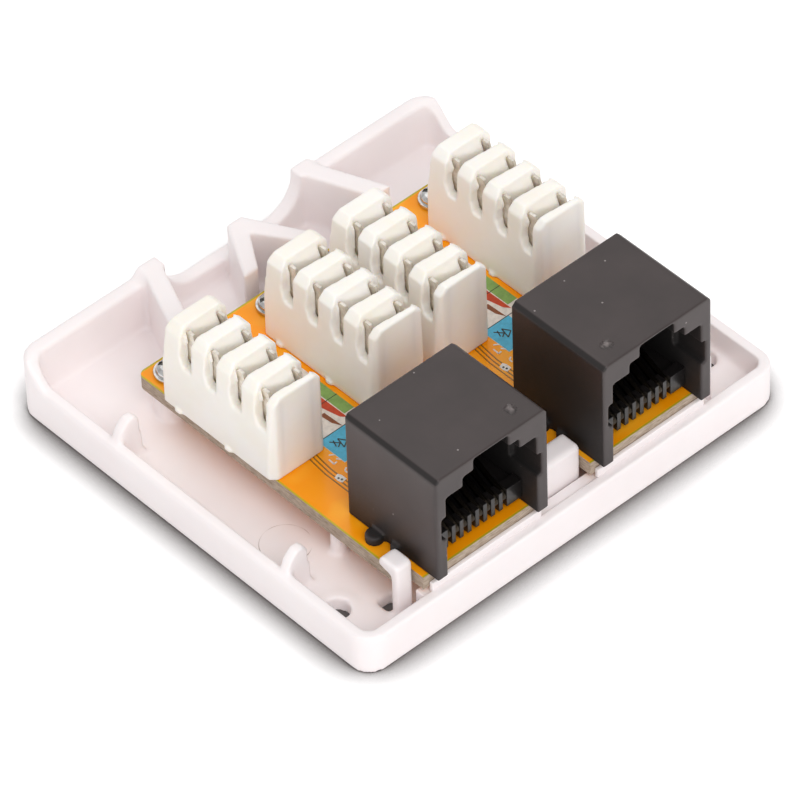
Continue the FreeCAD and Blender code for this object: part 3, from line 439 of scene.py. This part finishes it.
def softened(name, pieceName, look, boxes=(), start=None):
    # a copy of a moulded node with its edges rounded as the tool leaves them
    source = nodes[name]
    piece = newPiece(pieceName, source.data.copy())
    if start:
        start(piece.data)
    tool = None
    if boxes:
        tool = boxTool(pieceName + "_tool", boxes)
        bitten(piece, tool)
    cells = piece.modifiers.new("cells", "REMESH")
    cells.mode = "VOXEL"
    cells.voxel_size = look["voxel"] * mm
    cells.adaptivity = 0.0
    ease = piece.modifiers.new("ease", "SMOOTH")
    ease.factor = 0.5
    ease.iterations = look["passes"]
    fewer = piece.modifiers.new("fewer", "DECIMATE")
    fewer.ratio = look["keep"]
    mesh = applied(piece)
    if tool:
        bpy.data.objects.remove(tool)
    mesh.materials.clear()
    mesh.materials.append(source.data.materials[0])
    for polygon in mesh.polygons:
        polygon.use_smooth = True
    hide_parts(name)
    print(pieceName, len(mesh.polygons))
    return piece


def flatCollars(mesh):
    # the collars round the wall screws stand almost flush with the floor
    for vertex in mesh.vertices:
        if abs(vertex.co.z - (trayLook["floor"] + trayLook["collar"]) * mm) < 0.02 * mm:
            vertex.co.z = (trayLook["floor"] + trayLook["collarLeft"]) * mm


# wire slots: pitch and first place from the front end, all in millimetres
slotLook = {"first": 1.55, "pitch": 3.62, "half": 0.46, "wide": 0.62, "reach": 1.25, "from": 7.4}


def slotMouths(name, look):
    # opens each wire slot at the left face, straight up to the top
    low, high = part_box(name)
    boxes = []
    for step in range(4):
        place = low[1] + (look["first"] + look["pitch"] * step) * mm
        boxes.append(((low[0] - mm, place - look["half"] * mm, low[2] + look["from"] * mm),
                      (low[0] + look["reach"] * mm, place + (look["half"] + look["wide"]) * mm,
                       high[2] + mm)))
    return boxes


softened("base_tray", "soft_tray", trayLook, start=flatCollars)
for number in range(1, 5):
    name = "idc_block_%d" % number
    softened(name, "soft_block_%d" % number, blockLook, slotMouths(name, slotLook))
for side in ("left", "right"):
    softened("jack_housing_" + side, "soft_jack_" + side, jackLook)


# slit clips in the terminal blocks, in millimetres from the middle of a clip
clipLook = {"thick": 0.36, "slit": 0.05, "slitDepth": 4.2, "mouth": 0.32, "mouthDepth": 0.75, "corner": 0.3,
            "gap": 0.02, "foot": 0.9, "footHalf": 0.6, "pin": (0.3, 0.2), "round": 0.05}


def makeClip(name, pieceName, look):
    # two stamped blades joined by a strip under the block, with one pin through the board
    low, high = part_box(name)
    middle = ((low[0] + high[0]) / 2, (low[1] + high[1]) / 2)
    half = (high[1] - low[1]) / 2 / mm
    top = high[2] / mm
    base = boardHigh[2] / mm + look["gap"]
    rightHalf = [(half, base), (half, top - look["corner"]), (half - look["corner"], top),
                 (look["mouth"], top), (look["slit"], top - look["mouthDepth"]),
                 (look["slit"], top - look["slitDepth"])]
    blade = [(-half, base)] + rightHalf + [(-y, z) for y, z in rightHalf[:0:-1]]
    mesh = bpy.data.meshes.new(pieceName)
    form = bmesh.new()
    for inner, outer in ((low[0], low[0] + look["thick"] * mm), (high[0] - look["thick"] * mm, high[0])):
        rings = []
        for x in (inner, outer):
            rings.append([form.verts.new((x, middle[1] + y * mm, z * mm)) for y, z in blade])
        form.faces.new(rings[0])
        form.faces.new(rings[1][::-1])
        for step in range(len(blade)):
            after = (step + 1) % len(blade)
            form.faces.new((rings[0][step], rings[0][after], rings[1][after], rings[1][step]))
    foot, (pinAcross, pinAlong) = look["footHalf"] * mm, look["pin"]
    for start, end in (((low[0], middle[1] - foot, base * mm),
                        (high[0], middle[1] + foot, (base + look["foot"] - look["gap"]) * mm)),
                       ((middle[0] - pinAcross * mm, middle[1] - pinAlong * mm, low[2]),
                        (middle[0] + pinAcross * mm, middle[1] + pinAlong * mm, base * mm))):
        addBox(form, start, end)
    bmesh.ops.recalc_face_normals(form, faces=form.faces)
    form.to_mesh(mesh)
    form.free()
    mesh.materials.append(tin)
    clip = newPiece(pieceName, mesh)
    eased(clip, look["round"], 2)
    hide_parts(name)
    return clip


for block in range(1, 5):
    for number in range(1, 5):
        makeClip("idc_clip_%d_%d" % (block, number), "slit_clip_%d_%d" % (block, number), clipLook)
print("clips: done")

# a ledge inside the front wall, under the board's front edge, with a low lip before each jack
ledgeLook = {"ends": 18.9, "front": 24.5, "back": 23.1, "low": 1.6, "top": 4.4, "round": 0.12,
             "lipFront": 24.6, "lipBack": 24.13, "lipTop": 5.65, "lipHalf": 7.15}


def makeLedge(look):
    boxes = [((-look["ends"] * mm, -look["front"] * mm, look["low"] * mm),
              (look["ends"] * mm, -look["back"] * mm, look["top"] * mm))]
    for side in ("left", "right"):
        low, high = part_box("jack_insert_" + side)
        middle = (low[0] + high[0]) / 2
        boxes.append(((middle - look["lipHalf"] * mm, -look["lipFront"] * mm, look["low"] * mm),
                      (middle + look["lipHalf"] * mm, -look["lipBack"] * mm, look["lipTop"] * mm)))
    ledge = boxTool("front_ledge", boxes)
    ledge.data.materials.append(tray)
    eased(ledge, look["round"], 3)
    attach(ledge, "root")
    return ledge


makeLedge(ledgeLook)
print("ledge: done")


# board print
# all outlines are in millimetres from the middle of a port, seen from above
boardTop = boardHigh[2]
printLook = {"port": 10.87, "ink": 0.02, "left": -2.85, "right": 2.85, "rows": (3.5, -0.1, -3.75),
             "rowWide": 0.07, "signWide": 0.13, "strokeWide": 0.16, "eye": 0.1, "traceWide": 0.13,
             "traces": (0.0, 0.42, 0.84)}
inks = {
    "green": makeInk("greenInk", "#86AC5A"),
    "red": makeInk("redInk", "#CC4114"),
    "brown": makeInk("brownInk", "#8A4A24"),
    "blue": makeInk("blueInk", "#52BBDE"),
    "pale": makeInk("paleInk", "#EBE2D9"),
    "legend": makeInk("whiteLegendInk", "#F4EFE8"),
    "dark": makeInk("darkInk", "#33342C"),
    "trace": makeInk("maskedTrace", "#8E6414", 0.25),
}
fields = [
    ("pale", 1, [(-2.85, 6.9), (2.85, 6.9), (2.85, -7.55), (-2.85, -7.55)]),
    ("green", 2, [(1.6, 3.5), (2.85, 3.5), (2.85, -2.6), (1.6, -2.6)]),
    ("red", 2, [(0.3, 0.7), (1.45, 0.8), (1.5, -3.2), (1.0, -2.6), (0.7, -1.3)]),
    ("brown", 2, [(-0.3, -1.1), (0.25, -1.2), (0.35, -3.7), (-0.15, -2.7)]),
    ("blue", 2, [(-2.8, -3.8), (0.6, -3.8), (0.6, -7.5), (-2.8, -7.5)]),
]


def inkMesh(name, entries):
    # thin printed plates lying on the board; each entry is ink, layer, outline in metres
    mesh = bpy.data.meshes.new(name)
    form = bmesh.new()
    used = []
    for ink, layer, points in entries:
        if ink not in used:
            used.append(ink)
        low = boardTop
        high = boardTop + printLook["ink"] * mm * layer
        base = [form.verts.new((x, y, low)) for x, y in points]
        lid = [form.verts.new((x, y, high)) for x, y in points]
        faces = [form.faces.new(lid), form.faces.new(base[::-1])]
        count = len(points)
        for step in range(count):
            after = (step + 1) % count
            faces.append(form.faces.new((base[step], base[after], lid[after], lid[step])))
        for face in faces:
            face.material_index = used.index(ink)
    bmesh.ops.recalc_face_normals(form, faces=form.faces)
    bmesh.ops.triangulate(form, faces=form.faces)
    form.to_mesh(mesh)
    form.free()
    for ink in used:
        mesh.materials.append(inks[ink])
    return mesh


def band(points, width):
    # an open line of straight runs as quads of one width
    quads = []
    for (ax, ay), (bx, by) in zip(points, points[1:]):
        run = Vector((bx - ax, by - ay))
        side = Vector((-run.y, run.x)).normalized() * width / 2
        quads.append([(ax + side.x, ay + side.y), (ax - side.x, ay - side.y),
                      (bx - side.x, by - side.y), (bx + side.x, by + side.y)])
    return quads


def makePrint(side, sign, look):
    entries = list(fields)
    for y in look["rows"]:
        for quad in band([(look["left"], y), (look["right"], y)], look["rowWide"]):
            entries.append(("dark", 3, quad))
    # dark strokes in the blue field
    for line in ([(-2.1, -4.5), (-1.4, -5.3), (-1.9, -5.6)], [(-1.7, -4.6), (-2.0, -5.4)],
                 [(-1.2, -4.7), (-1.5, -6.0), (-0.7, -5.5), (-1.2, -4.7)]):
        for quad in band(line, look["signWide"]):
            entries.append(("dark", 3, quad))
    # short white strokes between the label and the traces
    for line in ([(-3.3, -5.75), (-2.75, -6.15)], [(-3.7, -6.2), (-3.75, -7.0), (-3.35, -6.95)],
                 [(-3.1, -6.6), (-2.8, -7.05)], [(-3.2, -8.15), (-3.55, -8.35), (-3.6, -8.75)]):
        for quad in band(line, look["strokeWide"]):
            entries.append(("legend", 2, quad))
    # a white patch with two dark dots
    entries.append(("legend", 2, [(-4.95, -8.4), (-4.4, -8.2), (-4.2, -8.6), (-4.2, -9.3), (-4.85, -9.4),
                                  (-5.0, -8.9)]))
    for cx, cy in ((-4.72, -8.72), (-4.6, -9.07)):
        eye = look["eye"]
        entries.append(("dark", 3, [(cx - eye, cy - eye), (cx + eye, cy - eye), (cx + eye, cy + eye),
                                    (cx - eye, cy + eye)]))
    # traces that run from the label to the jack, seen through the mask
    for shift in look["traces"]:
        route = [(-4.9 + shift, -4.2), (-5.1 + shift, -5.9), (-5.25 + shift, -7.4), (-5.25 + shift, -11.4)]
        for quad in band(route, look["traceWide"]):
            entries.append(("trace", 1, quad))
    placed = []
    for ink, layer, points in entries:
        placed.append((ink, layer, [((x + sign * look["port"]) * mm, y * mm) for x, y in points]))
    return newPiece("board_print_" + side, inkMesh("board_print_" + side, placed))


makePrint("left", -1, printLook)
makePrint("right", 1, printLook)
print("board print: done")


# board screws

screwLook = {"shaft": 0.9, "length": 4.4, "head": 1.65, "rise": 1.2, "brim": 0.45, "crown": 1.38, "sides": 48,
             "domeSteps": 7, "recessWidth": 0.5, "recessSpan": 2.3, "recessDepth": 0.95, "sharpAngle": 35}


def lathe(form, profile, middle, sides):
    # a closed turned form; profile points are radius and height in metres
    rings = []
    for radius, height in profile:
        if radius == 0:
            rings.append([form.verts.new((middle[0], middle[1], middle[2] + height))])
            continue
        ring = []
        for step in range(sides):
            turn = 2 * math.pi * step / sides
            ring.append(form.verts.new((middle[0] + radius * math.cos(turn),
                                        middle[1] + radius * math.sin(turn), middle[2] + height)))
        rings.append(ring)
    for lower, upper in zip(rings, rings[1:]):
        for step in range(sides):
            after = (step + 1) % sides
            if len(lower) == 1:
                form.faces.new((lower[0], upper[step], upper[after]))
            elif len(upper) == 1:
                form.faces.new((lower[step], lower[after], upper[0]))
            else:
                form.faces.new((lower[step], lower[after], upper[after], upper[step]))


def makeScrew(number, look):
    low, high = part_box("board_screw_%d" % number)
    middle = ((low[0] + high[0]) / 2, (low[1] + high[1]) / 2, boardTop)
    head, rise, shaft = look["head"] * mm, look["rise"] * mm, look["shaft"] * mm
    brim, crown = look["brim"] * mm, look["crown"] * mm
    tip, start, steps = -look["length"] * mm, brim * 1.08, look["domeSteps"]
    profile = [(0, tip), (shaft * 0.5, tip), (shaft, tip + shaft * 0.6), (shaft, 0), (head * 0.97, 0),
               (head, brim * 0.15), (head, brim * 0.8), (head * 0.97, brim), (crown * 1.03, brim),
               (crown, start)]
    for step in range(1, steps + 1):
        turn = math.pi / 2 * step / steps
        profile.append((crown * math.cos(turn) ** 0.55 if step < steps else 0,
                        start + (rise - start) * math.sin(turn) ** 0.9))
    mesh = bpy.data.meshes.new("screw_form_%d" % number)
    form = bmesh.new()
    lathe(form, profile, middle, look["sides"])
    bmesh.ops.recalc_face_normals(form, faces=form.faces)
    form.to_mesh(mesh)
    form.free()
    mesh.materials.append(zinc)
    screw = newPiece("pan_screw_%d" % number, mesh)
    # cross recess, turned a little further on each screw
    cutMesh = bpy.data.meshes.new("recess_form_%d" % number)
    cutForm = bmesh.new()
    deep = look["recessDepth"] * mm
    for turn in (0, math.pi / 2):
        bmesh.ops.create_cube(cutForm, size=1.0, matrix=Matrix.Translation(
            (middle[0], middle[1], boardTop + rise - deep / 2 + 0.3 * mm))
            @ Matrix.Rotation(turn + 0.5 * number, 4, "Z")
            @ Matrix.Diagonal((look["recessSpan"] * mm, look["recessWidth"] * mm, deep + 0.6 * mm, 1)))
    cutForm.to_mesh(cutMesh)
    cutForm.free()
    cutter = bpy.data.objects.new("recess_tool_%d" % number, cutMesh)
    bpy.context.scene.collection.objects.link(cutter)
    bitten(screw, cutter).use_self = True
    cut = applied(screw)
    bpy.data.objects.remove(cutter)
    cut.shade_smooth()
    cut.set_sharp_from_angle(angle=math.radians(look["sharpAngle"]))
    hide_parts("board_screw_%d" % number)
    return screw


for number in range(1, 5):
    makeScrew(number, screwLook)
print("screws: done")


# floor, lights, camera

studio = {"floorHex": "#F8F7F7", "shadeHex": "#5A5655", "shadeReach": 5.2, "shadeFrom": 0.48, "shadeTo": 0.9,
          "lift": 0.3, "world": 0.67,
          "overhead": {"place": (0.12, 0.28, 0.6), "aim": (0, 0, 0), "size": (0.5, 0.5), "power": 0.55},
          "front": {"place": (-0.22, -0.52, 0.56), "aim": (0, 0, 0.01), "size": (0.5, 0.5), "power": 2.75}}

floorMesh = bpy.data.meshes.new("studio_floor")
floorForm = bmesh.new()
bmesh.ops.create_grid(floorForm, x_segments=1, y_segments=1, size=3.0)
floorForm.to_mesh(floorMesh)
floorForm.free()
floor = bpy.data.objects.new("studio_floor", floorMesh)
bpy.context.scene.collection.objects.link(floor)
floorPaint, floorTree, floorShader = startMaterial("matteWhitePaper")
# painted contact shadow: the paper colour darkens by ambient occlusion where the tray stands on it, and shows
# white to the camera elsewhere
contactOcclusion = addNode(floorTree, "ShaderNodeAmbientOcclusion", {"samples": 16},
                {"Distance": studio["shadeReach"] * mm})
paintedContactShadow = addNode(floorTree, "ShaderNodeValToRGB", inputs={"Fac": contactOcclusion.outputs["AO"]})
paintedContactShadow.color_ramp.elements[0].position = studio["shadeFrom"]
paintedContactShadow.color_ramp.elements[1].position = studio["shadeTo"]
paintedContactShadow.color_ramp.elements[0].color = linear(studio["shadeHex"])
paintedContactShadow.color_ramp.elements[1].color = linear(studio["floorHex"])
paths = addNode(floorTree, "ShaderNodeLightPath")
direct = addNode(floorTree, "ShaderNodeMath", {"operation": "MAXIMUM"},
                 {0: paths.outputs["Is Camera Ray"], 1: paths.outputs["Is Glossy Ray"]})
anySight = addNode(floorTree, "ShaderNodeMath", {"operation": "MAXIMUM"},
                   {0: direct.outputs[0], 1: paths.outputs["Is Transmission Ray"]})
lift = addNode(floorTree, "ShaderNodeMath", {"operation": "MULTIPLY"},
               {0: anySight.outputs[0], 1: studio["lift"]})
paper = addNode(floorTree, "ShaderNodeMix", {"data_type": "RGBA"},
                {0: anySight.outputs[0], 6: linear(studio["floorHex"]), 7: paintedContactShadow.outputs["Color"]})
setShader(floorTree, floorShader, {"Base Color": paper.outputs[2], "Emission Color": paintedContactShadow.outputs["Color"],
                                   "Emission Strength": lift.outputs[0]},
          {"Roughness": 0.9, "Specular IOR Level": 0.1})
floorMesh.materials.append(floorPaint)

world = bpy.data.worlds.new("studio_world")
bpy.context.scene.world = world
world.use_nodes = True
worldTree = world.node_tree
glow = worldTree.nodes["Background"]
glow.inputs["Color"].default_value = linear("#FFFFFF")
sight = addNode(worldTree, "ShaderNodeLightPath")
strength = addNode(worldTree, "ShaderNodeMapRange", inputs={0: sight.outputs["Is Camera Ray"],
                                                            3: studio["world"], 4: 1.0})
worldTree.links.new(strength.outputs[0], glow.inputs["Strength"])


def softBox(name, look):
    light = bpy.data.lights.new(name, "AREA")
    light.shape = "RECTANGLE"
    light.size, light.size_y = look["size"]
    light.energy = look["power"]
    lamp = bpy.data.objects.new(name, light)
    bpy.context.scene.collection.objects.link(lamp)
    lamp.location = look["place"]
    lamp.rotation_euler = (Vector(look["aim"]) - Vector(look["place"])).to_track_quat("-Z", "Y").to_euler()
    return lamp


softBox("overheadBox", studio["overhead"])
softBox("frontBox", studio["front"])

view = {"place": (-0.340147, -0.390757, 0.518041), "heading": -0.715076, "drop": 0.786447,
        "roll": -0.0390218, "lens": 334.97, "shiftX": 0.0094, "shiftY": 0.0120}
cameraData = bpy.data.cameras.new("photoView")
cameraData.sensor_width = 36.0
cameraData.lens = view["lens"]
cameraData.shift_x = view["shiftX"]
cameraData.shift_y = view["shiftY"]
cameraData.clip_start = 0.01
camera = bpy.data.objects.new("photoView", cameraData)
bpy.context.scene.collection.objects.link(camera)
camera.matrix_world = (Matrix.Translation(view["place"])
                       @ Euler((math.pi / 2 - view["drop"], 0, view["heading"])).to_matrix().to_4x4()
                       @ Matrix.Rotation(view["roll"], 4, "Z"))
bpy.context.scene.camera = camera
bpy.context.scene.view_settings.view_transform = "Standard"
print("studio: done")
